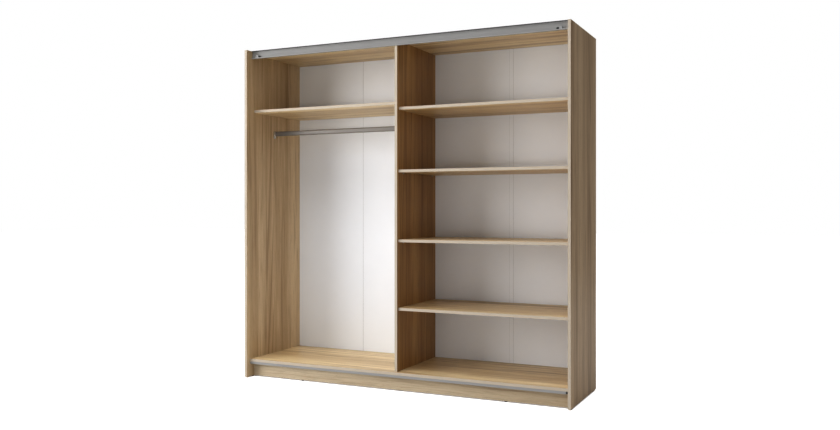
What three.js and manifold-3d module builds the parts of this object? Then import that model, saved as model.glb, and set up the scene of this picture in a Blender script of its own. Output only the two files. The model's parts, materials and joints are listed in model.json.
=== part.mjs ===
// Carcass of a two-bay sliding door wardrobe, without its doors: a hanging bay on the left,
// a bay of shelves on the right, a door track across the top front and a guide rail under
// the floor of the bays.
//
// Millimetres. +X is to the right, +Y to the back, +Z up. The origin is on the floor, under
// the middle of the footprint.

import * as THREE from 'three';
import { mergeVertices } from 'three/addons/utils/BufferGeometryUtils.js';
import Module from 'manifold-3d';

const wasm = await Module();
wasm.setup();

// ---------------------------------------------------------------- driving dimensions

const WIDTH = 2018; // over the side panels
const HEIGHT = 2000; // floor to the top of the side panels
const DEPTH = 584; // the left side panel, the deepest piece
const BOARD = 16; // laminated board
const GAP = 0.3; // clearance between pieces that touch

// Distances behind the front edge of the left side panel
const RIGHT_SETBACK = 34; // right side panel, which needs no cover for the front door
const FLOOR_SETBACK = 34; // bottom panel and guide rail
const TRACK_SETBACK = 46;
const PARTITION_SETBACK = 51;
const PLINTH_SETBACK = 75;
const LEFT_SHELF_SETBACK = 76;
const FIXED_SHELF_SETBACK = 73;
const LOOSE_SHELF_SETBACK = 64;
const HANGER_SETBACK = 289; // middle of the hanging rail

// Heights above the floor
const GLIDE_HEIGHT = 5;
const FLOOR_TOP = 112; // upper face of the bottom panel
const LEFT_SHELF_UNDERSIDE = 1624;
const RIGHT_SHELF_UNDERSIDES = [1592, 1237, 842, 456];
const HANGER_HEIGHT = 1510; // middle of the hanging rail

// Back: four thin sheets, joined by a T-shaped strip at a quarter and an H-shaped one at three quarters
const SHEET = 3;
const SHEET_INSET = 3; // from the rear edges of the side panels to the sheets
const REBATE_WIDTH = 8.5; // cut into the side panels for the sheets
const STRIP_WIDTH = 25.6;
const STRIP_FLANGE = 0.8;
const STRIP_WEB = 1.2;
const STRIP_WEB_INSET = 0.5; // from the front of the sheets to the T-shaped strip's web

// Door track and guide rail
const TRACK = { height: 47.6, depth: 14, wall: 2, lip: 6 };
const GUIDE = { height: 14.1, depth: 20, wall: 1.5 };
const END_PLUG_LENGTH = 9;

// Door stops in the track, measured inwards from the side panels
const STOP = { from: 18, shoulder: 32, to: 50, height: 18, plate: 1.5, screw: 25 };
const BUFFER = { radius: 4.4, length: 14 };

// Hanging rail and its open-topped holders
const HANGER = { width: 15, height: 30, wall: 1.2 };
const HOLDER = { width: 22, above: 17, below: 29, corner: 8, plate: 2.5, cup: 12, wall: 2 };
const HOLDER_PLAY = 0.4;
const HOLDER_SCREW_HEIGHTS = { upper: 2, lower: -23.2 }; // from the middle of the rail
const HANGER_END_GAP = 6; // from the board to the end of the rail

// Small hardware
const SCREW = { head: 3.6, headHeight: 2.2, shank: 1.9, recess: 4.2, slot: 1.1 };
const STOP_SCREW_LENGTH = 7;
const HOLDER_SCREW_LENGTH = 13;
const HOLE_PLAY = 0.35;
const PIN = { radius: 2.5, inBoard: 9, head: 3.5, headLength: 9 };
const PIN_DEPTHS = { front: 58, rear: 458 }; // behind the front edge of the shelf
const GLIDE = { radius: 8, foot: 6, chamfer: 1.5 };
const GLIDE_SPREAD = 643; // plinth glides, to each side of the middle
const SIDE_GLIDE_DEPTHS = { front: 66, rear: 524 }; // behind the left side panel's front edge
const ROUND = 16; // segments in a full turn

// ---------------------------------------------------------------- derived places

const LEFT = -WIDTH / 2;
const RIGHT = WIDTH / 2;
const INNER_LEFT = LEFT + BOARD;
const INNER_RIGHT = RIGHT - BOARD;
const FRONT = -DEPTH / 2;
const REAR = DEPTH / 2;
const SHEET_REAR = REAR - SHEET_INSET;
const SHEET_FRONT = SHEET_REAR - SHEET;
const BOARD_REAR = SHEET_FRONT - STRIP_FLANGE - 2 * GAP; // boards stop in front of the strips
const CEILING = HEIGHT - BOARD;
const FLOOR_UNDERSIDE = FLOOR_TOP - BOARD;
const PARTITION_LEFT = -BOARD / 2;
const PARTITION_RIGHT = BOARD / 2;
const TRACK_FRONT = FRONT + TRACK_SETBACK;
const TRACK_WEB = TRACK_FRONT + TRACK.depth - TRACK.wall; // front face of the web
const TRACK_BACK = TRACK_FRONT + TRACK.depth;
const TRACK_BOTTOM = HEIGHT - TRACK.height;
const HANGER_Y = FRONT + HANGER_SETBACK;
const STOP_HEIGHT = TRACK_BOTTOM + TRACK.wall + GAP;
const STOP_MIDDLE = STOP_HEIGHT + STOP.height / 2;

// ---------------------------------------------------------------- materials

const material = (color, roughness, metalness = 0) =>
  new THREE.MeshStandardMaterial({ color, roughness, metalness });

const OAK = material(0xb79a72, 0.6);
const WHITE_SHEET = material(0xe4e1dc, 0.55);
const STRIP_PLASTIC = material(0xdedbd6, 0.45);
const ALUMINIUM = material(0xa3a2a0, 0.35, 1);
const CHROME = material(0xc4c4c6, 0.15, 1);
const STEEL = material(0x8b8987, 0.4, 1);
const BLACK_PLASTIC = material(0x1b1a19, 0.5);
const RUBBER = material(0x151515, 0.8);
const GREY_PLASTIC = material(0xb9b8b6, 0.5);

// ---------------------------------------------------------------- shape helpers

const ALONG_X = new THREE.Matrix4().makeBasis(
  new THREE.Vector3(0, 1, 0),
  new THREE.Vector3(0, 0, 1),
  new THREE.Vector3(1, 0, 0),
);

/** Closed outline through [x, y] corners. */
function outline(corners) {
  return new THREE.Shape(corners.map(([x, y]) => new THREE.Vector2(x, y)));
}

/** Prism of a plan outline, rising along +Z from 0. */
function riseFrom(shape, height) {
  return new THREE.ExtrudeGeometry(shape, { depth: height, bevelEnabled: false });
}

/** Prism of a side outline drawn in Y and Z, running along +X from 0. */
function runAlongX(shape, length, curveSegments = ROUND / 2) {
  const options = { depth: length, bevelEnabled: false, curveSegments };
  return new THREE.ExtrudeGeometry(shape, options).applyMatrix4(ALONG_X);
}

/** Cylinder lying along X, from x = 0 to its length. */
function rodAlongX(radius, length) {
  const rod = new THREE.CylinderGeometry(radius, radius, length, ROUND);
  return rod.rotateZ(-Math.PI / 2).translate(length / 2, 0, 0);
}

function toSolid(geometry) {
  const bare = geometry.clone();
  bare.deleteAttribute('normal');
  bare.deleteAttribute('uv');
  const merged = mergeVertices(bare, 1e-4);
  const mesh = new wasm.Mesh({
    numProp: 3,
    vertProperties: new Float32Array(merged.attributes.position.array),
    triVerts: new Uint32Array(merged.index.array),
  });
  return new wasm.Manifold(mesh);
}

function toGeometry(solid) {
  const { vertProperties, triVerts } = solid.getMesh();
  const geometry = new THREE.BufferGeometry();
  geometry.setAttribute('position', new THREE.BufferAttribute(vertProperties, 3));
  geometry.setIndex(new THREE.BufferAttribute(triVerts, 1));
  geometry.computeVertexNormals();
  return geometry;
}

/** The geometry with every cutter taken away. */
function cut(geometry, cutters) {
  const remove = (solid, cutter) => solid.subtract(toSolid(cutter));
  return toGeometry(cutters.reduce(remove, toSolid(geometry)));
}

function join(first, second) {
  return toGeometry(toSolid(first).add(toSolid(second)));
}

/** A blind hole along X into a board's face, starting just outside it. `into` is +1 or -1. */
function holeAlongX([x, y, z], radius, depth, into) {
  const start = into > 0 ? x - 1 : x - depth;
  return rodAlongX(radius, depth + 1).translate(start, y, z);
}

function mesh(name, geometry, finish, [x, y, z] = [0, 0, 0]) {
  const piece = new THREE.Mesh(geometry, finish);
  piece.name = name;
  piece.position.set(x, y, z);
  return piece;
}

/** A plain board between two opposite corners. */
function board(name, low, high, finish = OAK) {
  const size = high.map((value, axis) => value - low[axis]);
  const centre = high.map((value, axis) => (value + low[axis]) / 2);
  return mesh(name, new THREE.BoxGeometry(...size), finish, centre);
}

// ---------------------------------------------------------------- places of small hardware

const looseShelfFront = FRONT + LOOSE_SHELF_SETBACK;
const pinPlaces = [];
for (const [index, underside] of RIGHT_SHELF_UNDERSIDES.entries()) {
  if (index === 0) continue; // the uppermost shelf is fixed
  for (const [where, depth] of Object.entries(PIN_DEPTHS)) {
    const y = looseShelfFront + depth;
    const z = underside - GAP - PIN.head;
    const shelf = index + 1;
    pinPlaces.push({ name: `shelf_pin_${shelf}_left_${where}`, x: PARTITION_RIGHT, y, z, into: -1 });
    pinPlaces.push({ name: `shelf_pin_${shelf}_right_${where}`, x: INNER_RIGHT, y, z, into: 1 });
  }
}

const holderPlaces = [
  { side: 'left', x: INNER_LEFT, into: -1 },
  { side: 'right', x: PARTITION_LEFT, into: 1 },
];

function pinHoles(x) {
  const here = pinPlaces.filter((pin) => pin.x === x);
  return here.map((pin) =>
    holeAlongX([pin.x, pin.y, pin.z], PIN.radius + HOLE_PLAY, PIN.inBoard + HOLE_PLAY, pin.into));
}

function holderScrewHoles(x) {
  const { into } = holderPlaces.find((place) => place.x === x);
  const radius = SCREW.shank + HOLE_PLAY;
  const depth = HOLDER_SCREW_LENGTH - HOLDER.plate;
  return Object.values(HOLDER_SCREW_HEIGHTS).map((height) =>
    holeAlongX([x, HANGER_Y, HANGER_HEIGHT + height], radius, depth, into));
}

// ---------------------------------------------------------------- carcass

/** Upright side board with a rebate for the back sheets. `side` is -1 on the left, +1 on the right. */
function sidePanelGeometry(side, front) {
  const outer = side * RIGHT;
  const inner = side * INNER_RIGHT;
  const rebate = side * (INNER_RIGHT + REBATE_WIDTH);
  const step = SHEET_FRONT - GAP;
  const corners = [[outer, front], [inner, front], [inner, step], [rebate, step], [rebate, REAR], [outer, REAR]];
  const plan = outline(side < 0 ? corners : corners.reverse());
  return riseFrom(plan, HEIGHT - GLIDE_HEIGHT).translate(0, 0, GLIDE_HEIGHT);
}

/** Upright board between the bays, cut back at its top front corner for the track. */
function partitionGeometry() {
  const front = FRONT + PARTITION_SETBACK;
  const bottom = FLOOR_TOP + GAP;
  const top = CEILING - GAP;
  const notchBack = TRACK_BACK + GAP;
  const notchFoot = TRACK_BOTTOM - GAP;
  const side = outline([
    [front, bottom], [BOARD_REAR, bottom], [BOARD_REAR, top],
    [notchBack, top], [notchBack, notchFoot], [front, notchFoot],
  ]);
  return runAlongX(side, BOARD).translate(PARTITION_LEFT, 0, 0);
}

function carcass() {
  const left = INNER_LEFT + GAP;
  const right = INNER_RIGHT - GAP;
  const group = new THREE.Group();

  const leftHoles = holderScrewHoles(INNER_LEFT);
  group.add(mesh('side_panel_left', cut(sidePanelGeometry(-1, FRONT), leftHoles), OAK));

  const rightSide = sidePanelGeometry(1, FRONT + RIGHT_SETBACK);
  group.add(mesh('side_panel_right', cut(rightSide, pinHoles(INNER_RIGHT)), OAK));

  const partitionHoles = [...pinHoles(PARTITION_RIGHT), ...holderScrewHoles(PARTITION_LEFT)];
  group.add(mesh('partition_panel', cut(partitionGeometry(), partitionHoles), OAK));

  group.add(board('top_panel', [left, TRACK_BACK + GAP, CEILING], [right, BOARD_REAR, HEIGHT]));
  const floorFront = FRONT + FLOOR_SETBACK;
  group.add(board('bottom_panel', [left, floorFront, FLOOR_UNDERSIDE], [right, BOARD_REAR, FLOOR_TOP]));
  return group;
}

/** Boards on edge under the bottom panel: one across the front, one across the back, one between. */
function plinth() {
  const left = INNER_LEFT + GAP;
  const right = INNER_RIGHT - GAP;
  const top = FLOOR_UNDERSIDE - GAP;
  const front = FRONT + PLINTH_SETBACK;
  const rearBoardRear = BOARD_REAR - BOARD;
  const rearBoardFront = rearBoardRear - BOARD;
  const group = new THREE.Group();
  group.add(board('plinth_front', [left, front, GLIDE_HEIGHT], [right, front + BOARD, top]));
  group.add(board('plinth_rear', [left, rearBoardFront, GLIDE_HEIGHT], [right, rearBoardRear, top]));
  group.add(board(
    'plinth_centre',
    [-BOARD / 2, front + BOARD + GAP, GLIDE_HEIGHT],
    [BOARD / 2, rearBoardFront - GAP, top],
  ));
  return group;
}

/** Section of the strip that shows on both sides of the sheets, with their middle at y = 0. */
function hSection() {
  const { flange, web, slot, face } = stripLevels();
  return outline([
    [-flange, -face], [flange, -face], [flange, -slot], [web, -slot], [web, slot], [flange, slot],
    [flange, face], [-flange, face], [-flange, slot], [-web, slot], [-web, -slot], [-flange, -slot],
  ]);
}

/** Section of the strip that lies behind the sheets, with only its web between them. */
function tSection() {
  const { flange, web, slot, face } = stripLevels();
  const front = STRIP_WEB_INSET - SHEET / 2;
  return outline([
    [-flange, slot], [-web, slot], [-web, front], [web, front], [web, slot], [flange, slot],
    [flange, face], [-flange, face],
  ]);
}

function stripLevels() {
  const slot = SHEET / 2 + GAP;
  return { flange: STRIP_WIDTH / 2, web: STRIP_WEB / 2, slot, face: slot + STRIP_FLANGE };
}

/** Four thin sheets and the two strips that join them in the middle of each bay. */
function back() {
  const group = new THREE.Group();
  const bottom = FLOOR_UNDERSIDE + 1;
  const top = HEIGHT - 1;
  const edge = INNER_RIGHT + REBATE_WIDTH - GAP;
  const seam = WIDTH / 4;
  const beside = STRIP_WEB / 2 + GAP;
  const spans = [
    [-edge, -seam - beside], [-seam + beside, -beside / 2],
    [beside / 2, seam - beside], [seam + beside, edge],
  ];
  for (const [index, [from, to]] of spans.entries()) {
    const low = [from, SHEET_FRONT, bottom];
    const high = [to, SHEET_REAR, top];
    group.add(board(`back_panel_${index + 1}`, low, high, WHITE_SHEET));
  }

  const sheetMiddle = (SHEET_FRONT + SHEET_REAR) / 2;
  for (const [side, x, section] of [['left', -seam, tSection()], ['right', seam, hSection()]]) {
    const strip = riseFrom(section, top - bottom);
    group.add(mesh(`back_joint_strip_${side}`, strip, STRIP_PLASTIC, [x, sheetMiddle, bottom]));
  }
  return group;
}

// ---------------------------------------------------------------- door track and guide rail

/** Pan-head screw with a cross recess. It lies along X, with its head's face towards -X at x = 0. */
function screwGeometry(length) {
  const { head, headHeight, shank, recess, slot } = SCREW;
  const tip = headHeight + length;
  const profile = [[0, 0], [head - 0.8, 0], [head, 0.8], [head, headHeight], [shank, headHeight],
    [shank, tip - 2], [0, tip]];
  const points = profile.map(([radius, along]) => new THREE.Vector2(radius, along));
  const body = new THREE.LatheGeometry(points, ROUND).rotateZ(-Math.PI / 2);
  const arms = [[recess, slot], [slot, recess]].map(([y, z]) => new THREE.BoxGeometry(2.4, y, z));
  return cut(body, arms);
}

/** C-shaped channel, open to the front, with an upturned lip along its lower edge. */
function trackGeometry(length) {
  const { height, depth, wall, lip } = TRACK;
  const section = outline([
    [0, 0], [depth, 0], [depth, height], [0, height], [0, height - wall],
    [depth - wall, height - wall], [depth - wall, wall], [wall, wall], [wall, lip], [0, lip],
  ]);
  return runAlongX(section, length);
}

/** U-shaped channel, open downwards. */
function guideGeometry(length) {
  const { height, depth, wall } = GUIDE;
  const section = outline([
    [0, 0], [wall, 0], [wall, height - wall], [depth - wall, height - wall],
    [depth - wall, 0], [depth, 0], [depth, height], [0, height],
  ]);
  return runAlongX(section, length);
}

/** Door stop that fills the track: a thin foot for the screw, then a solid shoulder. */
function stopGeometry() {
  const back = TRACK_WEB - GAP;
  const front = TRACK_FRONT + TRACK.wall + GAP;
  const plan = outline([
    [STOP.from, back - STOP.plate], [STOP.shoulder, back - STOP.plate], [STOP.shoulder, front],
    [STOP.to, front], [STOP.to, back], [STOP.from, back],
  ]);
  const body = riseFrom(plan, STOP.height).translate(0, 0, STOP_HEIGHT);
  const hole = new THREE.CylinderGeometry(SCREW.shank + HOLE_PLAY, SCREW.shank + HOLE_PLAY, 10, ROUND);
  return cut(body, [hole.translate(STOP.screw, back, STOP_MIDDLE)]);
}

function mirrored(geometry) {
  const flipped = toSolid(geometry).mirror([1, 0, 0]);
  return toGeometry(flipped);
}

function doorRails() {
  const group = new THREE.Group();
  const length = INNER_RIGHT - INNER_LEFT - 2 * GAP;
  const start = INNER_LEFT + GAP;

  const screwHoles = [-1, 1].map((side) => {
    const hole = new THREE.CylinderGeometry(SCREW.shank + HOLE_PLAY, SCREW.shank + HOLE_PLAY, 10, ROUND);
    const x = side * (INNER_RIGHT - STOP.screw) - start;
    return hole.translate(x, TRACK.depth, STOP_MIDDLE - TRACK_BOTTOM);
  });
  const track = cut(trackGeometry(length), screwHoles);
  group.add(mesh('top_rail', track, ALUMINIUM, [start, TRACK_FRONT, TRACK_BOTTOM]));

  const guideLength = length - END_PLUG_LENGTH - GAP;
  const guideBottom = FLOOR_UNDERSIDE - GAP - GUIDE.height;
  const guideFront = FRONT + FLOOR_SETBACK;
  group.add(mesh('bottom_rail', guideGeometry(guideLength), ALUMINIUM, [start, guideFront, guideBottom]));
  const plugLeft = start + guideLength + GAP;
  group.add(board(
    'bottom_rail_end_plug',
    [plugLeft, guideFront, guideBottom + 1],
    [plugLeft + END_PLUG_LENGTH, guideFront + GUIDE.depth, guideBottom + GUIDE.height],
    BLACK_PLASTIC,
  ));

  const bufferY = (TRACK_FRONT + TRACK.wall + TRACK_WEB) / 2;
  const screwY = TRACK_WEB - GAP - STOP.plate - GAP - SCREW.headHeight;
  for (const [side, sign] of [['left', -1], ['right', 1]]) {
    const panel = sign * INNER_RIGHT;
    const stop = sign < 0 ? stopGeometry() : mirrored(stopGeometry());
    group.add(mesh(`rail_stop_${side}`, stop, GREY_PLASTIC, [panel, 0, 0]));

    const screw = mesh(`rail_stop_screw_${side}`, screwGeometry(STOP_SCREW_LENGTH), STEEL);
    screw.position.set(panel - sign * STOP.screw, screwY, STOP_MIDDLE);
    screw.rotation.z = Math.PI / 2;
    group.add(screw);

    const buffer = mesh(`rail_buffer_${side}`, rodAlongX(BUFFER.radius, BUFFER.length), RUBBER);
    const bufferEnd = STOP.to + GAP + (sign > 0 ? BUFFER.length : 0);
    buffer.position.set(panel - sign * bufferEnd, bufferY, STOP_MIDDLE);
    group.add(buffer);
  }
  return group;
}

// ---------------------------------------------------------------- shelves

function shelves() {
  const group = new THREE.Group();
  const fixedRear = BOARD_REAR;
  const looseRear = BOARD_REAR - 1;
  const looseSide = 1; // a loose shelf's clearance at each end

  group.add(board(
    'left_shelf',
    [INNER_LEFT + GAP, FRONT + LEFT_SHELF_SETBACK, LEFT_SHELF_UNDERSIDE],
    [PARTITION_LEFT - GAP, fixedRear, LEFT_SHELF_UNDERSIDE + BOARD],
  ));
  for (const [index, underside] of RIGHT_SHELF_UNDERSIDES.entries()) {
    const fixed = index === 0;
    const side = fixed ? GAP : looseSide;
    const front = FRONT + (fixed ? FIXED_SHELF_SETBACK : LOOSE_SHELF_SETBACK);
    group.add(board(
      `right_shelf_${index + 1}`,
      [PARTITION_RIGHT + side, front, underside],
      [INNER_RIGHT - side, fixed ? fixedRear : looseRear, underside + BOARD],
    ));
  }

  const { radius, inBoard, head, headLength } = PIN;
  const profile = [
    [0, -inBoard], [radius, -inBoard], [radius, GAP], [head, GAP],
    [head, headLength - 1], [head - 1, headLength], [0, headLength],
  ];
  const points = profile.map(([r, along]) => new THREE.Vector2(r, along));
  for (const { name, x, y, z, into } of pinPlaces) {
    const pin = mesh(name, new THREE.LatheGeometry(points, ROUND), STEEL, [x, y, z]);
    pin.rotation.z = into * Math.PI / 2;
    group.add(pin);
  }
  return group;
}

// ---------------------------------------------------------------- hanging rail

/** Upright oval, as wide as `width` and as high as `height`, drawn in Y and Z about its middle. */
function oval(width, height) {
  const radius = width / 2;
  const straight = height / 2 - radius;
  const shape = new THREE.Shape();
  shape.absarc(0, straight, radius, 0, Math.PI, false);
  shape.absarc(0, -straight, radius, Math.PI, 2 * Math.PI, false);
  shape.closePath();
  return shape;
}

/** Holder with its plate on x = 0 and its open-topped cup towards +X; the rail's middle is y = z = 0. */
function holderGeometry() {
  const { width, above, below, corner, plate, cup, wall } = HOLDER;
  const half = width / 2;
  const face = new THREE.Shape();
  face.moveTo(-half, above);
  face.lineTo(-half, corner - below);
  face.absarc(corner - half, corner - below, corner, Math.PI, 1.5 * Math.PI, false);
  face.absarc(half - corner, corner - below, corner, 1.5 * Math.PI, 2 * Math.PI, false);
  face.lineTo(half, above);
  face.closePath();

  const inner = HANGER.width / 2 + HOLDER_PLAY;
  const outer = inner + wall;
  const seat = -(HANGER.height - HANGER.width) / 2;
  const trough = new THREE.Shape();
  trough.moveTo(-outer, above);
  trough.absarc(0, seat, outer, Math.PI, 2 * Math.PI, false);
  trough.lineTo(outer, above);
  trough.lineTo(inner, above);
  trough.absarc(0, seat, inner, 2 * Math.PI, Math.PI, true);
  trough.lineTo(-inner, above);
  trough.closePath();

  const body = join(runAlongX(face, plate), runAlongX(trough, cup + 1).translate(plate - 1, 0, 0));
  const holes = Object.values(HOLDER_SCREW_HEIGHTS).map((height) =>
    rodAlongX(SCREW.shank + HOLE_PLAY, plate + 2).translate(-1, 0, height));
  return cut(body, holes);
}

function hangingRail() {
  const group = new THREE.Group();
  const start = INNER_LEFT + HANGER_END_GAP;
  const section = oval(HANGER.width, HANGER.height);
  section.holes.push(oval(HANGER.width - 2 * HANGER.wall, HANGER.height - 2 * HANGER.wall));
  const tube = runAlongX(section, PARTITION_LEFT - HANGER_END_GAP - start);
  group.add(mesh('hanging_rail', tube, STEEL, [start, HANGER_Y, HANGER_HEIGHT]));

  for (const { side, x, into } of holderPlaces) {
    const holder = new THREE.Group();
    holder.position.set(x - into * GAP, HANGER_Y, HANGER_HEIGHT);
    holder.rotation.z = into > 0 ? Math.PI : 0;
    holder.add(mesh(`rail_holder_${side}`, holderGeometry(), CHROME));
    for (const [where, height] of Object.entries(HOLDER_SCREW_HEIGHTS)) {
      const screw = mesh(`holder_screw_${side}_${where}`, screwGeometry(HOLDER_SCREW_LENGTH), STEEL);
      screw.position.set(HOLDER.plate + GAP + SCREW.headHeight, 0, height);
      screw.rotation.z = Math.PI;
      holder.add(screw);
    }
    group.add(holder);
  }
  return group;
}

// ---------------------------------------------------------------- glides

function glides() {
  const group = new THREE.Group();
  const { radius, foot, chamfer } = GLIDE;
  const top = GLIDE_HEIGHT - GAP;
  const profile = [[0, 0], [foot, 0], [radius, chamfer], [radius, top], [0, top]];
  const points = profile.map(([r, z]) => new THREE.Vector2(r, z));

  const sideX = RIGHT - BOARD / 2;
  const frontY = FRONT + PLINTH_SETBACK + BOARD / 2;
  const rearY = BOARD_REAR - 1.5 * BOARD;
  const places = {
    side_left_front: [-sideX, FRONT + SIDE_GLIDE_DEPTHS.front],
    side_left_rear: [-sideX, FRONT + SIDE_GLIDE_DEPTHS.rear],
    side_right_front: [sideX, FRONT + SIDE_GLIDE_DEPTHS.front],
    side_right_rear: [sideX, FRONT + SIDE_GLIDE_DEPTHS.rear],
    plinth_front_left: [-GLIDE_SPREAD, frontY],
    plinth_front_right: [GLIDE_SPREAD, frontY],
    plinth_rear_left: [-GLIDE_SPREAD, rearY],
    plinth_rear_right: [GLIDE_SPREAD, rearY],
    plinth_centre: [0, (frontY + rearY) / 2],
  };
  for (const [place, [x, y]] of Object.entries(places)) {
    const glide = mesh(`glide_${place}`, new THREE.LatheGeometry(points, ROUND), BLACK_PLASTIC, [x, y, 0]);
    glide.rotation.x = Math.PI / 2;
    group.add(glide);
  }
  return group;
}

const group = new THREE.Group();
group.add(carcass(), plinth(), back(), doorRails(), shelves(), hangingRail(), glides());

export default group;
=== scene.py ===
"""Looks, light and camera for the open carcass of a sliding door wardrobe. Lengths are in metres."""

import json
import math
import random

import bmesh
import bpy
from mathutils import Euler, Matrix, Vector


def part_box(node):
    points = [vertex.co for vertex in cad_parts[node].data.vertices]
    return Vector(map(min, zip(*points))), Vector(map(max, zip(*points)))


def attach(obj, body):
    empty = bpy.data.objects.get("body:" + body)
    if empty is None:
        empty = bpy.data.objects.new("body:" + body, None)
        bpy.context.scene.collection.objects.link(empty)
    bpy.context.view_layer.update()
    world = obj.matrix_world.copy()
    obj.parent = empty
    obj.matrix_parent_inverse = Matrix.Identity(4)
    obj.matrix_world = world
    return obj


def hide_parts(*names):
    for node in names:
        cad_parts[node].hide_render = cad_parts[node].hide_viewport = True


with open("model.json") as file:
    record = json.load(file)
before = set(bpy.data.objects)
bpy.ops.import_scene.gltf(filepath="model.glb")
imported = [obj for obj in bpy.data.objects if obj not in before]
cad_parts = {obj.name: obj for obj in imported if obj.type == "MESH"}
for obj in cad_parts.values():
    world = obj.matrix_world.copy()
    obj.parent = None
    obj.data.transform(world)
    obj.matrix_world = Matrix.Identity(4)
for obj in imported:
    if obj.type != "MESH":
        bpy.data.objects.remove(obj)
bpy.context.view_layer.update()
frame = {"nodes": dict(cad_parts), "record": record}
nodes = frame["nodes"]

MM = 0.001
CABINET = "cabinet"
LOW, HIGH = 0, 1  # the two corners of a box
random.seed(11)


# ------------------------------------------------------------------ camera, world and lights

CAMERA_PLACE = Vector((2.112, -4.404, 1.0295))
CAMERA_TURN = math.radians(25.23)  # to the left of straight ahead
CAMERA_LENS = 35.45
CAMERA_SHIFT = -0.0070  # keeps the level camera's horizon a little above the middle
CONTRAST = 1.35

LIGHT_AIM = Vector((0, 0, 1.0))
AMBIENT = 0.26
FLOOR_GLOW = 0.025
BACKDROP_GLOW = 0.9  # what the floor adds for the camera alone, so that it ends without a horizon
CONTACT_REACH = 30 * MM  # how near a thing has to be for that glow to fade under it

# Softboxes: degrees to the left of straight ahead, degrees up, distance, width, height and power.
# The powers, AMBIENT and FLOOR_GLOW are rounded from a least-squares fit of the lights, rendered one
# by one, to average colours in the photo. Only rear_fill's was given, not fitted.
SOFTBOXES = {
    "key": (42, 10, 5.5, 2.6, 2.6, 150),
    "high_front": (0, 50, 8.0, 5.0, 2.5, 149),
    "top": (0, 65, 7.0, 6.0, 3.0, 96),
    "overhead": (0, 85, 6.0, 5.0, 3.0, 128),
    "low_front": (0, -5, 8.0, 5.0, 0.5, 47),
    "low_left": (50, -5, 8.0, 4.0, 0.5, 22),
    "left_fill": (75, 25, 8.0, 4.0, 3.0, 47),
    "right_fill": (-20, 8, 8.0, 4.0, 4.0, 63),
    "rear_fill": (170, 20, 7.0, 4.0, 3.0, 110),
}


def make_camera():
    data = bpy.data.cameras.new("camera")
    data.lens = CAMERA_LENS
    data.sensor_width = 36.0
    data.shift_y = CAMERA_SHIFT
    camera = bpy.data.objects.new("camera", data)
    camera.location = CAMERA_PLACE
    camera.rotation_euler = Euler((math.pi / 2, 0, CAMERA_TURN))
    bpy.context.scene.collection.objects.link(camera)
    bpy.context.scene.camera = camera


def seen_strength(tree, lighting, seen):
    """A strength that is one value as a light and another as a thing the camera sees."""
    path = tree.nodes.new("ShaderNodeLightPath")
    strength = tree.nodes.new("ShaderNodeMix")
    strength.inputs["A"].default_value = lighting
    if isinstance(seen, bpy.types.NodeSocket):
        tree.links.new(seen, strength.inputs["B"])
    else:
        strength.inputs["B"].default_value = seen
    tree.links.new(path.outputs["Is Camera Ray"], strength.inputs["Factor"])
    return strength.outputs["Result"]


def make_world():
    """A plain white background that lights the scene only as much as AMBIENT says."""
    world = bpy.data.worlds.new("studio")
    bpy.context.scene.world = world
    world.use_nodes = True
    tree = world.node_tree
    background = tree.nodes["Background"]
    background.inputs["Color"].default_value = (1, 1, 1, 1)
    tree.links.new(seen_strength(tree, AMBIENT, 1.0), background.inputs["Strength"])


def softbox(name, left, up, distance, width, height, power):
    left, up = math.radians(left), math.radians(up)
    away = Vector((-math.sin(left) * math.cos(up), -math.cos(left) * math.cos(up), math.sin(up)))
    data = bpy.data.lights.new(name, "AREA")
    data.shape = "RECTANGLE"
    data.size = width
    data.size_y = height
    data.energy = power
    light = bpy.data.objects.new(name, data)
    light.location = LIGHT_AIM + away * distance
    light.rotation_euler = away.to_track_quat("Z", "Y").to_euler()
    bpy.context.scene.collection.objects.link(light)


def make_studio():
    make_camera()
    make_world()
    for name, settings in SOFTBOXES.items():
        softbox(name, *settings)
    view = bpy.context.scene.view_settings
    view.view_transform = "Standard"
    view.gamma = 1 / CONTRAST


# ------------------------------------------------------------------ material helpers


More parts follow.
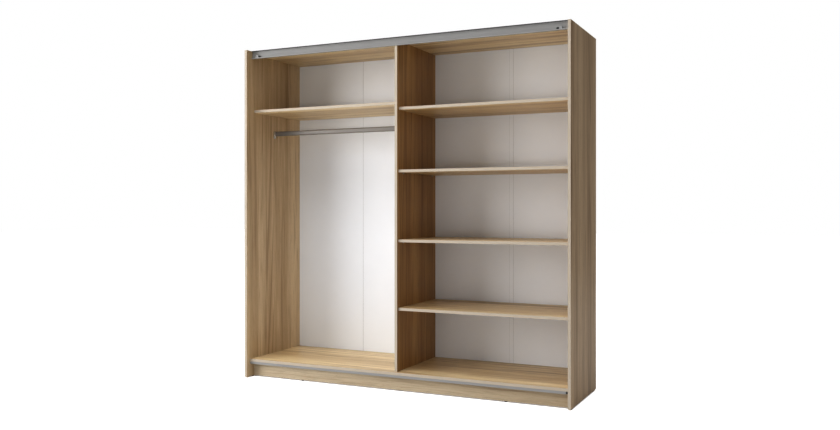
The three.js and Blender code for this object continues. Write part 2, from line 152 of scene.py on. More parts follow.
class Graph:
    """A new material and short calls for its nodes."""

    def __init__(self, name):
        self.material = bpy.data.materials.new(name)
        self.material.use_nodes = True
        self.tree = self.material.node_tree
        self.shader = self.tree.nodes["Principled BSDF"]

    def node(self, kind, **settings):
        made = self.tree.nodes.new("ShaderNode" + kind)
        for key, value in settings.items():
            setattr(made, key, value)
        return made

    def join(self, source, target):
        self.tree.links.new(source, target)

    def feed(self, socket, value):
        if isinstance(value, bpy.types.NodeSocket):
            self.join(value, socket)
        else:
            socket.default_value = value

    def place(self):
        return self.node("TexCoord").outputs["Object"]

    def scaled(self, scale, offset=(0, 0, 0)):
        mapping = self.node("Mapping")
        self.join(self.place(), mapping.inputs["Vector"])
        mapping.inputs["Scale"].default_value = scale
        mapping.inputs["Location"].default_value = offset
        return mapping.outputs["Vector"]

    def noise(self, vector, scale=1.0, detail=2.0, roughness=0.5, distortion=0.0):
        made = self.node("TexNoise")
        self.join(vector, made.inputs["Vector"])
        made.inputs["Scale"].default_value = scale
        made.inputs["Detail"].default_value = detail
        made.inputs["Roughness"].default_value = roughness
        made.inputs["Distortion"].default_value = distortion
        return made.outputs["Fac"]

    def math(self, operation, first, second=0.0):
        made = self.node("Math", operation=operation)
        for socket, value in zip(made.inputs, (first, second)):
            self.feed(socket, value)
        return made.outputs[0]

    def ramp(self, value, low, high, to_low=0.0, to_high=1.0):
        made = self.node("MapRange", interpolation_type="SMOOTHSTEP")
        self.feed(made.inputs["Value"], value)
        made.inputs["From Min"].default_value = low
        made.inputs["From Max"].default_value = high
        made.inputs["To Min"].default_value = to_low
        made.inputs["To Max"].default_value = to_high
        return made.outputs["Result"]

    def mix(self, factor, first, second, blend="MIX"):
        made = self.node("Mix", data_type="RGBA", blend_type=blend)
        self.feed(made.inputs["Factor"], factor)
        self.feed(made.inputs["A"], first)
        self.feed(made.inputs["B"], second)
        return made.outputs["Result"]

    def bump(self, height, strength, distance):
        made = self.node("Bump")
        made.inputs["Strength"].default_value = strength
        made.inputs["Distance"].default_value = distance
        self.join(height, made.inputs["Height"])
        self.join(made.outputs["Normal"], self.shader.inputs["Normal"])

    def parts(self, vector):
        """A vector's outputs "X", "Y" and "Z"."""
        split = self.node("SeparateXYZ")
        self.join(vector, split.inputs["Vector"])
        return split.outputs

    def facing(self):
        """The three parts of the surface's direction, for telling a board's faces from its edges."""
        return self.parts(self.node("NewGeometry").outputs["True Normal"])

    def towards(self, axis, side):
        """1 on the faces that look along an axis, up it (side 1.0) or down it (side -1.0)."""
        return self.ramp(self.math("MULTIPLY", self.facing()[axis], side), 0.6, 0.9)

    def colour(self, value):
        self.feed(self.shader.inputs["Base Color"], value)

    def sheen(self, level):
        self.shader.inputs["Specular IOR Level"].default_value = level

    def set(self, **sockets):
        for name, value in sockets.items():
            self.feed(self.shader.inputs[name.replace("_", " ").title()], value)


def rgb(red, green, blue):
    return (red, green, blue, 1.0)


# ------------------------------------------------------------------ materials

OAK_LIGHT = rgb(0.640, 0.509, 0.344)
OAK_MID = rgb(0.480, 0.355, 0.218)
OAK_DARK = rgb(0.255, 0.157, 0.077)
OAK_EDGE = rgb(0.475, 0.420, 0.350)
CHIPBOARD = rgb(0.36, 0.25, 0.15)
EDGE_ROUGHNESS = 0.62
OAK_SHEEN, EXTRUDED_SHEEN = 0.45, 0.3
GRAIN_STRETCH, PORE_STRETCH, LINE_STRETCH = 0.035, 0.09, 0.01  # smaller is longer
# Painted shade for the dark line along the top of the track: how dark it is, and the height it fades in
# over.
TOP_LINE_PAINTED_SHADE, TOP_LINE_SHADE_FADE = 0.22, 0.3 * MM
NEUTRAL = (1.0, 1.0, 1.0)


def tinted(colour, tint):
    return rgb(*(part * share for part, share in zip(colour, tint)))


def shaded(colour, share):
    return tinted(colour, (share, share, share))


def drawn_out(axis, stretch):
    """Texture scale that draws a pattern out along one axis."""
    return tuple(stretch if axis == each else 1 for each in "XYZ")


def oak(name, grain, seed, tint=NEUTRAL, banded=True, face=None):
    """Oak-look laminate with its grain along one axis, "X", "Y" or "Z"; seed shifts the figure.

    A banded board has a plainer strip glued along its front edge, and its bare core shows behind.
    A face, given as its axis, its side and a further tint, gets painted shade: it is darker and browner
    than the others.
    """
    g = Graph(name)
    # The tint is painted light on some boards and painted shade on others.
    light, mid, dark = (tinted(tone, tint) for tone in (OAK_LIGHT, OAK_MID, OAK_DARK))
    offset = (seed * 3.17, seed * 5.03, seed * 7.31)
    along = g.scaled(drawn_out(grain, GRAIN_STRETCH), offset)
    along_pores = g.scaled(drawn_out(grain, PORE_STRETCH), offset)

    planks = g.noise(along, scale=9.0, detail=1.0, roughness=0.4)
    streaks = g.noise(along, scale=34.0, detail=2.0, roughness=0.55)
    field = g.noise(along, scale=6.0, detail=1.0, roughness=0.4, distortion=0.35)
    rings = g.ramp(g.math("SINE", g.math("MULTIPLY", field, 95.0)), 0.1, 1.0)
    ring_place = g.ramp(g.noise(along, scale=7.0, detail=0.0), 0.52, 0.66)
    fibres = g.noise(along, scale=170.0, detail=4.0, roughness=0.65)
    pores = g.noise(along_pores, scale=520.0, detail=2.0, roughness=0.7)
    pore_mask = g.ramp(pores, 0.60, 0.74)

    tone = g.mix(g.ramp(planks, 0.34, 0.66), mid, light)
    tone = g.mix(g.ramp(streaks, 0.50, 0.74, 0.0, 0.62), tone, dark)
    tone = g.mix(g.ramp(streaks, 0.26, 0.46, 0.65, 0.0), tone, light)
    tone = g.mix(g.math("MULTIPLY", g.math("MULTIPLY", rings, ring_place), 0.50), tone, dark)
    tone = g.mix(g.ramp(fibres, 0.45, 0.75, 0.0, 0.45), tone, dark)
    tone = g.mix(g.math("MULTIPLY", pore_mask, 0.45), tone, dark)

    # Painted shade on one face of the board, darker and browner where it lies in shade.
    if face:
        axis, side, painted_shade_tint = face
        tone = g.mix(g.towards(axis, side), tone, g.mix(1.0, tone, rgb(*painted_shade_tint), "MULTIPLY"))
    roughness = g.ramp(fibres, 0.3, 0.8, 0.34, 0.44)
    if banded:
        front_edge = g.towards("Y", -1.0)
        band_wear = g.math("MULTIPLY", g.ramp(fibres, 0.4, 0.8), 0.25)
        tone = g.mix(front_edge, tone, g.mix(band_wear, OAK_EDGE, OAK_MID))
        chips = g.noise(g.scaled((1, 1, 1)), scale=330.0, detail=3.0, roughness=0.7)
        core = g.mix(g.ramp(chips, 0.35, 0.65), shaded(CHIPBOARD, 0.6), CHIPBOARD)
        tone = g.mix(g.towards("Y", 1.0), tone, core)
        roughness = g.math("MAXIMUM", roughness, g.math("MULTIPLY", front_edge, EDGE_ROUGHNESS))
    g.colour(tone)

    height = g.math("SUBTRACT", g.math("MULTIPLY", fibres, 0.4), g.math("MULTIPLY", pore_mask, 0.6))
    g.bump(height, 0.22, 0.0004)
    g.set(roughness=roughness)
    g.sheen(OAK_SHEEN)
    return g.material


def lacquer(g):
    cloud = g.noise(g.scaled((1, 1, 1)), scale=7.0, detail=4.0)
    return g.mix(cloud, rgb(0.780, 0.806, 0.853), rgb(0.810, 0.836, 0.881))


def white_sheet():
    """Thin hardboard: white lacquer on the side towards the shelves, raw brown fibre behind."""
    g = Graph("white_sheet")
    white = lacquer(g)
    fibre = g.noise(g.scaled((1, 1, 1)), scale=420.0, detail=5.0, roughness=0.7)
    flakes = g.noise(g.scaled((1, 1, 1)), scale=60.0, detail=5.0, roughness=0.75)
    brown = g.mix(g.ramp(fibre, 0.35, 0.7), rgb(0.24, 0.155, 0.09), rgb(0.38, 0.265, 0.165))
    brown = g.mix(g.math("MULTIPLY", g.ramp(flakes, 0.55, 0.75), 0.5), brown, rgb(0.17, 0.105, 0.06))
    behind = g.ramp(g.facing()["Y"], 0.3, 0.7)
    g.colour(g.mix(behind, white, brown))
    g.bump(fibre, 0.12, 0.0003)
    g.set(roughness=g.ramp(behind, 0.0, 1.0, 0.5, 0.85))
    return g.material


def strip_plastic(name, middle, shaded_from, shade):
    """Moulded strip that joins two back sheets: their own white in front and duller behind.

    In front it is darker, by shade, from shaded_from outwards on both sides of its middle: painted shade,
    for the shadow in the gap between the sheets and along rounded edges.
    """
    g = Graph(name)
    off_middle = g.math("ABSOLUTE", g.math("SUBTRACT", g.parts(g.place())["X"], middle))
    # Painted shade over this outer part of the front.
    outside = g.math("GREATER_THAN", off_middle, shaded_from)
    white = lacquer(g)
    front = g.mix(outside, white, g.mix(1.0, white, shaded(NEUTRAL, shade), "MULTIPLY"))
    streak = g.noise(g.scaled(drawn_out("Z", LINE_STRETCH)), scale=900.0, detail=3.0, roughness=0.6)
    worn = g.mix(streak, rgb(0.60, 0.60, 0.59), rgb(0.72, 0.72, 0.71))
    behind = g.ramp(g.facing()["Y"], 0.3, 0.7)
    g.colour(g.mix(behind, front, worn))
    g.bump(streak, 0.02, 0.0001)
    g.set(roughness=0.5)
    return g.material


def extruded(name, colour, roughness, metallic, shaded_above=None):
    """Drawn metal with faint lines along its length, which lies along X.

    Above the height shaded_above, if there is one, the surface is dark: painted shade for the shadow line
    along the top of the track.
    """
    g = Graph(name)
    along = g.scaled(drawn_out("X", LINE_STRETCH))
    streak = g.noise(along, scale=900.0, detail=3.0, roughness=0.6)
    broad = g.noise(along, scale=120.0, detail=2.0)
    darker = shaded(colour, 0.86)
    tone = g.mix(g.ramp(streak, 0.3, 0.7), darker, rgb(*colour))
    tone = g.mix(g.math("MULTIPLY", g.ramp(broad, 0.3, 0.7), 0.2), tone, darker)
    # Painted shade above shaded_above, for the shadow line along the track's top.
    if shaded_above is not None:
        painted_top_shade = g.ramp(g.parts(g.place())["Z"], shaded_above, shaded_above + TOP_LINE_SHADE_FADE)
        tone = g.mix(painted_top_shade, tone, shaded(colour, TOP_LINE_PAINTED_SHADE))
    g.colour(tone)
    g.set(metallic=metallic, roughness=g.ramp(streak, 0.25, 0.75, roughness - 0.05, roughness + 0.06))
    g.bump(streak, 0.06, 0.0002)
    g.sheen(EXTRUDED_SHEEN)
    return g.material


def moulded(name, colour, roughness, metallic=0.0):
    """Moulded plastic, rubber or plated metal with a fine uneven skin."""
    g = Graph(name)
    skin = g.noise(g.scaled((1, 1, 1)), scale=700.0, detail=3.0, roughness=0.6)
    darker = shaded(colour, 0.8)
    g.colour(g.mix(skin, darker, rgb(*colour)))
    g.set(metallic=metallic, roughness=g.ramp(skin, 0.3, 0.7, roughness - 0.04, roughness + 0.06))
    g.bump(skin, 0.08, 0.0002)
    return g.material


def floor_paint():
    """Pale matt floor with a faint glow, which stands for the light a bright studio floor throws back.

    For the camera the glow fades only where something nearly touches the floor, as a painted contact
    shadow.
    """
    g = Graph("floor_paint")
    grain = g.noise(g.scaled((1, 1, 1)), scale=3.0, detail=3.0)
    g.colour(g.mix(grain, rgb(0.85, 0.85, 0.85), rgb(0.87, 0.87, 0.87)))
    g.set(roughness=0.9)
    g.shader.inputs["Emission Color"].default_value = (1, 1, 1, 1)
    # Painted contact shadow: the glow the camera sees fades where something nearly touches the floor.
    contact_shadow = g.node("AmbientOcclusion")
    contact_shadow.inputs["Distance"].default_value = CONTACT_REACH
    glow = g.ramp(contact_shadow.outputs["AO"], 0.1, 0.8, 0.0, BACKDROP_GLOW)
    g.join(seen_strength(g.tree, FLOOR_GLOW, glow), g.shader.inputs["Emission Strength"])
    return g.material


# ------------------------------------------------------------------ CAD boards and rails

GRAINS = {"side_panel": "Z", "partition": "Z"}
# Painted light and shade: each board's tint lifts or lowers its oak to how lit it looks. The level boards
# are lighter for the light and sheen their tops and undersides catch; the right side panel is darker and
# browner, as it lies in shade.
FLAT_BOARD_PAINTED_LIGHT = (1.36, 1.42, 1.38)
PLINTH = (0.90, 0.96, 1.05)
PAINTED_LIGHT_TINTS = {
    "side_panel_left": (1.08, 1.09, 1.09),
    "side_panel_right": (1.02, 0.95, 0.88),
    "left_shelf": FLAT_BOARD_PAINTED_LIGHT,
    "right_shelf": FLAT_BOARD_PAINTED_LIGHT,
    "top_panel": FLAT_BOARD_PAINTED_LIGHT,
    "bottom_panel": FLAT_BOARD_PAINTED_LIGHT,
    "plinth": PLINTH,
}
# Painted shade on one face, as axis, side and tint: the partition's right face and the right shelves'
# undersides.
PAINTED_SHADE_FACES = {
    "partition": ("X", 1.0, (0.80, 0.62, 0.37)),
    "right_shelf": ("Z", -1.0, (0.86, 0.80, 0.70)),
}
TRACK_TOP_WALL = 2.2 * MM
TRACK_TONE = (0.345, 0.34, 0.335)
TRACK_ROUGHNESS = 0.75
TRACK_METALLIC = 0.04
# Painted shade on the joint strips: over the whole web of the left one, sunk in the gap between the sheets,
# and along the rounded flange edges of the right one.
SUNK_WEB_SHADE = 0.36
FLANGE_LIP = 0.7 * MM
FLANGE_LIP_SHADE = 0.54
BOARD_ROUND = 0.7 * MM
METAL_ROUND = 0.25 * MM
ROUND_FROM = math.radians(50)  # only edges sharper than this are rounded

slots = {part["node"]: part["material_slot"] for part in frame["record"]["subparts"]}
finishes = {}


def by_start(table, name, otherwise):
    """The table's entry whose key the node's name starts with."""
    return next((value for start, value in table.items() if name.startswith(start)), otherwise)


def grain_of(name):
    return "Y" if name == "plinth_centre" else by_start(GRAINS, name, "X")


def strip_finish(name):
    """The left strip shows only its web, sunk between the sheets; the right one its thin flange too."""
    low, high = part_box(name)
    middle = (low[0] + high[0]) / 2
    # Both get painted shade: the left over its whole sunk web, the right along its flange's edges.
    if name.endswith("left"):
        return strip_plastic(name, middle, 0.0, SUNK_WEB_SHADE)
    return strip_plastic(name, middle, (high[0] - low[0]) / 2 - FLANGE_LIP, FLANGE_LIP_SHADE)


def track_metal(name, shaded_above=None):
    return extruded(name, TRACK_TONE, TRACK_ROUGHNESS, TRACK_METALLIC, shaded_above)


def make_finishes():
    """One material for each slot. Every board and strip has its own, which dress_nodes makes."""
    finishes["white_sheet"] = white_sheet()
    finishes["rail_aluminium"] = track_metal("rail_aluminium")
    finishes["rail_steel"] = extruded("rail_steel", (0.26, 0.245, 0.23), 0.5, 0.3)
    finishes["holder_chrome"] = moulded("holder_chrome", (0.66, 0.64, 0.61), 0.22, 0.9)
    finishes["zinc_steel"] = moulded("zinc_steel", (0.50, 0.49, 0.46), 0.34, 1.0)
    finishes["black_plastic"] = moulded("black_plastic", (0.03, 0.03, 0.03), 0.5)
    finishes["grey_plastic"] = moulded("grey_plastic", (0.33, 0.33, 0.33), 0.45)
    finishes["rubber"] = moulded("rubber", (0.025, 0.025, 0.025), 0.75)


def dress(name, material, bevel=0.0):
    """Gives a CAD node its material and, where it has sharp edges, a small round on them."""
    node = nodes[name]
    node.data.materials.clear()
    node.data.materials.append(material)
    if bevel:
        modifier = node.modifiers.new("edge_round", "BEVEL")
        modifier.width = bevel
        modifier.segments = 2
        modifier.limit_method = "ANGLE"
        modifier.angle_limit = ROUND_FROM


def dress_nodes():
    for number, (name, slot) in enumerate(sorted(slots.items())):
        if slot == "oak_board":
            banded = not name.startswith("plinth")
            tint = by_start(PAINTED_LIGHT_TINTS, name, NEUTRAL)
            face = by_start(PAINTED_SHADE_FACES, name, None)
            dress(name, oak("oak_" + name, grain_of(name), number, tint, banded, face), BOARD_ROUND)
        elif slot == "white_strip":
            dress(name, strip_finish(name))
        elif slot == "white_sheet":
            dress(name, finishes[slot])
        else:
            dress(name, finishes[slot], METAL_ROUND)
    # Painted shade on the track's top wall, for the shadow line along its top.
    track_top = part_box("top_rail")[HIGH][2] - TRACK_TOP_WALL
    nodes["top_rail"].data.materials[0] = track_metal("track_aluminium", track_top)


# ------------------------------------------------------------------ hardware

AXES = {
    "+X": Matrix(((0, 0, 1), (1, 0, 0), (0, 1, 0))),
    "-X": Matrix(((0, 0, -1), (-1, 0, 0), (0, 1, 0))),
    "+Y": Matrix(((-1, 0, 0), (0, 0, 1), (0, 1, 0))),
    "+Z": Matrix(((1, 0, 0), (0, 1, 0), (0, 0, 1))),
    "-Z": Matrix(((1, 0, 0), (0, -1, 0), (0, 0, -1))),
}
TURN = 48  # segments in a full turn
CREASE = math.radians(32)


def mesh_from(name, shape):
    """A smooth-shaded mesh from a bmesh, with its real edges kept sharp."""
    bmesh.ops.remove_doubles(shape, verts=shape.verts, dist=0.0001 * MM)
    bmesh.ops.recalc_face_normals(shape, faces=shape.faces)
    mesh = bpy.data.meshes.new(name)
    shape.to_mesh(mesh)
    shape.free()
    return smoothed(mesh)


def smoothed(mesh):
    mesh.shade_smooth()
    mesh.set_sharp_from_angle(angle=CREASE)
    return mesh


def arc(middle, radius, start, end, steps):
    """Points on an arc in a plane, from start to end in degrees."""
    angles = [math.radians(start + (end - start) * step / steps) for step in range(steps + 1)]
    return [(middle[0] + radius * math.cos(a), middle[1] + radius * math.sin(a)) for a in angles]


def turned(name, profile, steps=TURN):
    """A solid turned about +Z from (radius, height) points in millimetres, first and last on the axis."""
    shape = bmesh.new()
    rings = []
    for radius, height in profile:
        count = steps if radius > 1e-6 else 1
        angles = [2 * math.pi * step / steps for step in range(count)]
        rings.append([shape.verts.new(MM * Vector((radius * math.cos(a), radius * math.sin(a), height)))
                      for a in angles])
    for lower, upper in zip(rings, rings[1:]):
        for step in range(steps):
            corners = [lower[step % len(lower)], lower[(step + 1) % len(lower)]]
            corners += [upper[(step + 1) % len(upper)], upper[step % len(upper)]]
            shape.faces.new(list(dict.fromkeys(corners)))
    return mesh_from(name, shape)


def sleeve(name, loops):
    """A closed skin through loops of equally many points, the last loop joined to the first."""
    shape = bmesh.new()
    rows = [[shape.verts.new(MM * Vector(point)) for point in loop] for loop in loops]
    for row, after in zip(rows, rows[1:] + rows[:1]):
        for step in range(len(row)):
            beside = (step + 1) % len(row)
            shape.faces.new((row[step], row[beside], after[beside], after[step]))
    return mesh_from(name, shape)


def prism(name, outline, low, high):
    """A closed prism of a plane outline in millimetres, from height low to height high along +Z."""
    shape = bmesh.new()
    bottom = [shape.verts.new(MM * Vector((x, y, low))) for x, y in outline]
    top = [shape.verts.new(MM * Vector((x, y, high))) for x, y in outline]
    shape.faces.new(list(reversed(bottom)))
    shape.faces.new(top)
    for step in range(len(outline)):
        after = (step + 1) % len(outline)
        shape.faces.new((bottom[step], bottom[after], top[after], top[step]))
    return mesh_from(name, shape)


def kept(mesh, settings):
    """The mesh as a modifier with these settings leaves it."""
    holder = bpy.data.objects.new("holder", mesh)
    bpy.context.scene.collection.objects.link(holder)
    modifier = holder.modifiers.new("change", settings.pop("kind"))
    for key, value in settings.items():
        setattr(modifier, key, value)
    changed = holder.evaluated_get(bpy.context.evaluated_depsgraph_get())
    result = bpy.data.meshes.new_from_object(changed)
    bpy.data.objects.remove(holder)
    return smoothed(result)


def combined(mesh, others, operation):
    """The mesh with other closed ones joined to it ("UNION") or cut from it ("DIFFERENCE")."""
    for other in others:
        tool = bpy.data.objects.new("tool", other)
        bpy.context.scene.collection.objects.link(tool)
        mesh = kept(mesh, {"kind": "BOOLEAN", "operation": operation, "solver": "EXACT", "object": tool})
        bpy.data.objects.remove(tool)
    return mesh


def rounded(mesh, width):
    """The mesh with its hard edges rounded by a width in millimetres."""
    return kept(mesh, {"kind": "BEVEL", "width": width * MM, "segments": 2,
                       "limit_method": "ANGLE", "angle_limit": CREASE})


def moved(mesh, offset):
    copy = mesh.copy()
    copy.transform(Matrix.Translation(MM * Vector(offset)))
    return copy


def piece(name, mesh, slot, body, axis="+Z", place=(0, 0, 0), stands_for=None):
    """An object of its own copy of a mesh, turned to an axis, put in place and told what it rides on."""
    own = mesh.copy()
    own.name = name
    own.transform(Matrix.Translation(place) @ AXES[axis].to_4x4())
    own.materials.clear()
    own.materials.append(finishes[slot])
    made = bpy.data.objects.new(name, own)
    bpy.context.scene.collection.objects.link(made)
    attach(made, body)
    if stands_for:
        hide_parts(stands_for)
    return made


def stand_in(node, mesh, axis, body=CABINET):
    """Puts a finer mesh in a CAD node's place. It starts at one end of the node's box, along axis."""
    low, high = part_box(node)
    place = [(start + end) / 2 for start, end in zip(low, high)]
    along = "XYZ".index(axis[1])
    place[along] = low[along] if axis[0] == "+" else high[along]
    return piece(node + "_fine", mesh, slots[node], body, axis, place, node)


def nodes_named(start):
    return [name for name in sorted(nodes) if name.startswith(start)]


# ------------------------------------------------------------------ screws, pins, glides and buffers

SCREW_HEAD = 3.6  # radius
SCREW_HEAD_HEIGHT = 2.2
SCREW_SHANK = 1.9
SCREW_PITCH = 1.2
SCREW_TIP = 2.6
RECESS_REACH, RECESS_WIDTH, RECESS_DEPTH = 2.0, 1.1, 1.3
HOLDER_SCREW_LENGTH, STOP_SCREW_LENGTH = 15.2, 9.2  # with the head
PIN_SHANK, PIN_HEAD, PIN_IN_BOARD, PIN_LENGTH = 2.5, 3.5, 9.3, 18.0
GLIDE_FOOT, GLIDE_RADIUS, GLIDE_HEIGHT = 6.0, 8.0, 4.7
BUFFER_RADIUS, BUFFER_LENGTH = 4.4, 14.0


def screw_mesh(length):
    """Pan-head screw with a thread and a cross recess; its head starts at 0 and its tip is at +Z."""
    dome = [(0, 0), (1.9, 0.0), (2.9, 0.25), (3.4, 0.8), (SCREW_HEAD, 1.5), (SCREW_HEAD, SCREW_HEAD_HEIGHT)]
    root = SCREW_SHANK * 0.72
    profile = dome + [(root, SCREW_HEAD_HEIGHT)]
    height = SCREW_HEAD_HEIGHT + 0.5
    while height + SCREW_PITCH < length - SCREW_TIP:
        profile += [(root, height), (SCREW_SHANK, height + 0.45 * SCREW_PITCH)]
        profile += [(root, height + 0.9 * SCREW_PITCH)]
        height += SCREW_PITCH
    profile += [(SCREW_SHANK * 0.66, length - SCREW_TIP), (0, length)]
    arms = []
    for x, y in ((RECESS_REACH, RECESS_WIDTH / 2), (RECESS_WIDTH / 2, RECESS_REACH)):
        arms.append(prism("arm", [(-x, -y), (x, -y), (x, y), (-x, y)], -0.5, RECESS_DEPTH))
    return combined(turned("screw", profile), arms, "DIFFERENCE")


def pin_mesh():
    """Shelf pin: a thin end for the board, a collar, and a round-ended head that the shelf lies on."""
    collar = PIN_IN_BOARD + 2.0
    profile = [(0, 0), (2.1, 0), (PIN_SHANK, 0.5), (PIN_SHANK, PIN_IN_BOARD), (3.2, PIN_IN_BOARD)]
    profile += [(PIN_HEAD, PIN_IN_BOARD + 0.3), (PIN_HEAD, collar - 0.2)]
    profile += [(3.3, collar), (3.1, collar + 0.15)]
    profile += [(3.1, collar + 0.6), (3.3, collar + 0.75), (PIN_HEAD, collar + 0.95)]
    nose = 1.6
    profile += arc((PIN_HEAD - nose, PIN_LENGTH - nose), nose, 0, 90, 6) + [(0, PIN_LENGTH)]
    return turned("pin", profile)


def glide_mesh():
    """Round glide that the carcass slides on, a little hollow underneath."""
    profile = [(0, 0.5), (2.0, 0.5), (2.6, 0), (GLIDE_FOOT, 0)]
    profile += [(6.9, 0.35), (7.6, 0.9), (GLIDE_RADIUS, 1.6), (GLIDE_RADIUS, 4.3), (7.7, GLIDE_HEIGHT)]
    return turned("glide", profile + [(0, GLIDE_HEIGHT)])


def buffer_mesh():
    """Ribbed rubber buffer with a domed end at +Z."""
    profile = [(0, 0), (4.1, 0), (BUFFER_RADIUS, 0.3), (BUFFER_RADIUS, 2.0), (4.1, 2.3)]
    rib_pitch = 2.4
    for rib in range(3):
        start = 2.3 + rib * rib_pitch
        profile += [(3.5, start + 0.2), (3.5, start + 0.9), (4.2, start + 1.2), (4.2, start + rib_pitch)]
    flat = 1.8
    profile += arc((flat, BUFFER_LENGTH - 2.4), 2.4, 0, 90, 6) + [(0, BUFFER_LENGTH)]
    return turned("buffer", profile)


def small_hardware():
    long_screw = screw_mesh(HOLDER_SCREW_LENGTH)
    short_screw = screw_mesh(STOP_SCREW_LENGTH)
    for name in nodes_named("holder_screw_"):
        stand_in(name, long_screw, "-X" if "_left_" in name else "+X")
    for name in nodes_named("rail_stop_screw_"):
        stand_in(name, short_screw, "+Y")
    pin = pin_mesh()
    for name in nodes_named("shelf_pin_"):
        stand_in(name, pin, "+X" if "_left_" in name else "-X")
    glide = glide_mesh()
    for name in nodes_named("glide_"):
        stand_in(name, glide, "+Z")
    buffer = buffer_mesh()
    for name in nodes_named("rail_buffer_"):
        stand_in(name, buffer, "+X" if name.endswith("left") else "-X")


# ------------------------------------------------------------------ hanging rail and its holders

RAIL_WALL = 1.2
RAIL_CHAMFER = 0.3
HOLDER_PLATE, HOLDER_LENGTH, HOLDER_WALL = 2.5, 14.5, 2.0
HOLDER_PLAY = 0.4
HOLE_PLAY = 0.35
HOLDER_ABOVE, HOLDER_BELOW = 17, 29
HOLDER_CORNER, HOLDER_SHOULDER = 8.0, 2.0  # rounds at the bottom and the top of the plate
HOLDER_ROUND = 0.35
SCREW_HEIGHTS = (2.0, -23.2)  # from the middle of the rail


def oval(width, height):
    """Upright oval about 0, in millimetres."""
    radius = width / 2
    straight = height / 2 - radius
    return arc((0, straight), radius, 0, 180, TURN // 2) + arc((0, -straight), radius, 180, 360, TURN // 2)


def rail_mesh(width, height, length):
    """Oval tube with a wall and slightly chamfered ends, along +Z."""
    def loop(shrink, along):
        return [(x, y, along) for x, y in oval(width - 2 * shrink, height - 2 * shrink)]
    return sleeve("rail", [
        loop(0, RAIL_CHAMFER), loop(0, length - RAIL_CHAMFER), loop(RAIL_CHAMFER, length),
        loop(RAIL_WALL, length), loop(RAIL_WALL, 0), loop(RAIL_CHAMFER, 0),
    ])


def holder_mesh(width, rail_width, rail_height):
    """Screwed plate with an open-topped trough for the rail, along +Z, with the rail's middle at 0."""
    half = width / 2
    foot = HOLDER_CORNER - HOLDER_BELOW
    top = HOLDER_ABOVE - HOLDER_SHOULDER
    face = arc((HOLDER_CORNER - half, foot), HOLDER_CORNER, 180, 270, 10)
    face += arc((half - HOLDER_CORNER, foot), HOLDER_CORNER, 270, 360, 10)
    face += arc((half - HOLDER_SHOULDER, top), HOLDER_SHOULDER, 0, 90, 4)
    face += arc((HOLDER_SHOULDER - half, top), HOLDER_SHOULDER, 90, 180, 4)
    plate = prism("plate", face, 0, HOLDER_PLATE)

    inner = rail_width / 2 + HOLDER_PLAY
    outer = inner + HOLDER_WALL
    seat = -(rail_height - rail_width) / 2
    trough = [(-outer, HOLDER_ABOVE)] + arc((0, seat), outer, 180, 360, 28) + [(outer, HOLDER_ABOVE)]
    trough += [(inner, HOLDER_ABOVE)] + arc((0, seat), inner, 360, 180, 28) + [(-inner, HOLDER_ABOVE)]
    cup = prism("cup", trough, HOLDER_PLATE / 2, HOLDER_LENGTH)
    hole_radius = SCREW_SHANK + HOLE_PLAY
    past = HOLDER_PLATE + 1
    hole = turned("hole", [(0, -1), (hole_radius, -1), (hole_radius, past), (0, past)])
    body = combined(plate, [cup], "UNION")
    body = combined(body, [moved(hole, (0, height, 0)) for height in SCREW_HEIGHTS], "DIFFERENCE")
    return rounded(body, HOLDER_ROUND)


def hanging_rail_and_holders():
    low, high = (Vector(corner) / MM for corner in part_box("hanging_rail"))
    length, width, height = high - low
    stand_in("hanging_rail", rail_mesh(width, height, length), "+X", "hanging_rail")
    middle = (low + high) / 2
    for side, axis, end in (("left", "+X", LOW), ("right", "-X", HIGH)):
        node = "rail_holder_" + side
        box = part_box(node)
        holder_width = (box[HIGH][1] - box[LOW][1]) / MM
        place = (box[end][0], middle.y * MM, middle.z * MM)
        mesh = holder_mesh(holder_width, width, height)
        piece(node + "_fine", mesh, slots[node], CABINET, axis, place, node)


# ------------------------------------------------------------------ nails and cam covers

NAIL_HEAD = 2.2
NAIL_SPACING = 0.110
NAIL_INSET = 4.4 * MM  # from the edges of the sheets
NAIL_FROM_END = 0.05  # from the ends of an upright row to its first and last nail
NAIL_FROM_SIDE = 0.06  # the same for a level row
NAIL_TO_STRIP = 3 * MM  # no nail is nearer to a joint strip than this
NAIL_WOBBLE = 1.2 * MM
CLEAR = 0.02 * MM  # keeps a piece off the face it lies on
COVER_RADIUS = 8.5
COVER_HEIGHT = 0.9
COVER_INSET = 0.034  # from the end of a board to the middle of a cover
COVER_DEPTH = 0.090  # from its front and rear edges


def joined(name, mesh, places, slot, axis):
    """Copies of a mesh at several places, as one piece on the cabinet."""
    shape = bmesh.new()
    turn = AXES[axis].to_4x4()
    for place in places:
        copy = mesh.copy()
        copy.transform(Matrix.Translation(place) @ turn)
        shape.from_mesh(copy)
        bpy.data.meshes.remove(copy)
    result = bpy.data.meshes.new(name)
    shape.to_mesh(result)
    shape.free()
    return piece(name, smoothed(result), slot, CABINET)


def spread(start, end, spacing):
    """Evenly spaced places from start to end, about a spacing apart."""
    count = max(1, round((end - start) / spacing))
    return [start + (end - start) * step / count for step in range(count + 1)]


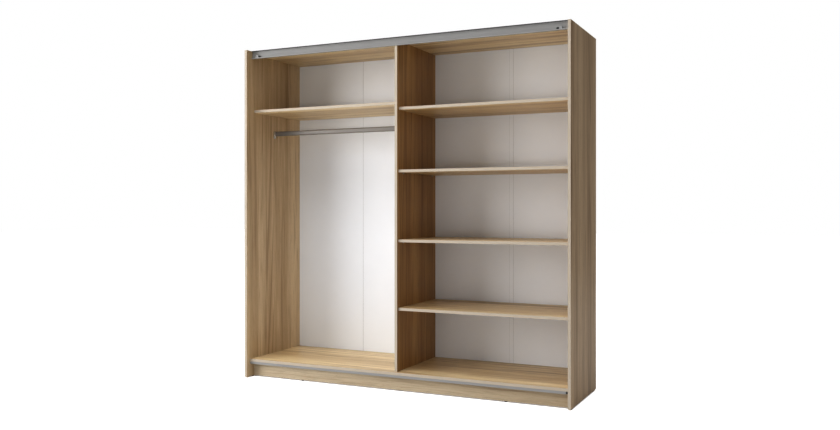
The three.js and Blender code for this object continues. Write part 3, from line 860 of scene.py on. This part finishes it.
def back_nails():
    """Domed heads of the nails that hold the thin sheets to the rear edges of the boards."""
    low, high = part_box("back_panel_1")
    rear = high[1] + CLEAR
    left, right = low[0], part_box("back_panel_4")[HIGH][0]
    heights = spread(low[2] + NAIL_FROM_END, high[2] - NAIL_FROM_END, NAIL_SPACING)
    places = []
    for x in (left + NAIL_INSET, -NAIL_INSET, NAIL_INSET, right - NAIL_INSET):
        places += [(x, z) for z in heights]
    for board, ends in (("top_panel", (left, right)), ("bottom_panel", (left, right)),
                        ("left_shelf", (left, 0)), ("right_shelf_1", (0, right))):
        height = (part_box(board)[LOW][2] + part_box(board)[HIGH][2]) / 2
        row = spread(ends[0] + NAIL_FROM_SIDE, ends[1] - NAIL_FROM_SIDE, NAIL_SPACING)
        places += [(x, height) for x in row]
    strips = [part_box(name) for name in nodes_named("back_joint_strip_")]
    spans = [(strip[LOW][0] - NAIL_TO_STRIP, strip[HIGH][0] + NAIL_TO_STRIP) for strip in strips]
    free = [(x, z) for x, z in places if all(not start < x < end for start, end in spans)]
    head = turned("nail", [(0, 0), (NAIL_HEAD, 0), (NAIL_HEAD, 0.25), (1.5, 0.6), (0, 0.75)], 16)
    spots = []
    for x, z in free:
        sideways = random.uniform(-NAIL_WOBBLE, NAIL_WOBBLE) / 3
        spots.append((x + sideways, rear, z + random.uniform(-NAIL_WOBBLE, NAIL_WOBBLE)))
    joined("back_nails", head, spots, "zinc_steel", "+Y")


def cam_covers():
    """Plastic caps over the cam fittings of the fixed boards, where they don't show from the front."""
    cap = turned("cap", [(0, 0), (COVER_RADIUS, 0), (COVER_RADIUS, 0.35), (7.6, COVER_HEIGHT * 0.85),
                         (2.4, COVER_HEIGHT), (1.9, 0.65), (0, 0.65)], 32)
    above, below = [], []
    for board in ("left_shelf", "right_shelf_1", "bottom_panel"):
        low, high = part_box(board)
        rows = (low[1] + COVER_DEPTH, high[1] - COVER_DEPTH)
        ends = [low[0] + COVER_INSET, high[0] - COVER_INSET]
        if board == "bottom_panel":
            below += [(x, y, low[2] - CLEAR) for x in ends for y in rows]
        else:
            above += [(x, y, high[2] + CLEAR) for x in ends for y in rows]
    joined("shelf_cam_covers", cap, above, "grey_plastic", "+Z")
    joined("floor_cam_covers", cap, below, "grey_plastic", "-Z")


# ------------------------------------------------------------------ stage


def make_stage():
    bpy.ops.mesh.primitive_plane_add(size=60)
    floor = bpy.context.active_object
    floor.name = "floor"
    floor.data.materials.append(floor_paint())


# ------------------------------------------------------------------ the scene

make_studio()
make_finishes()
dress_nodes()
small_hardware()
hanging_rail_and_holders()
back_nails()
cam_covers()
make_stage()
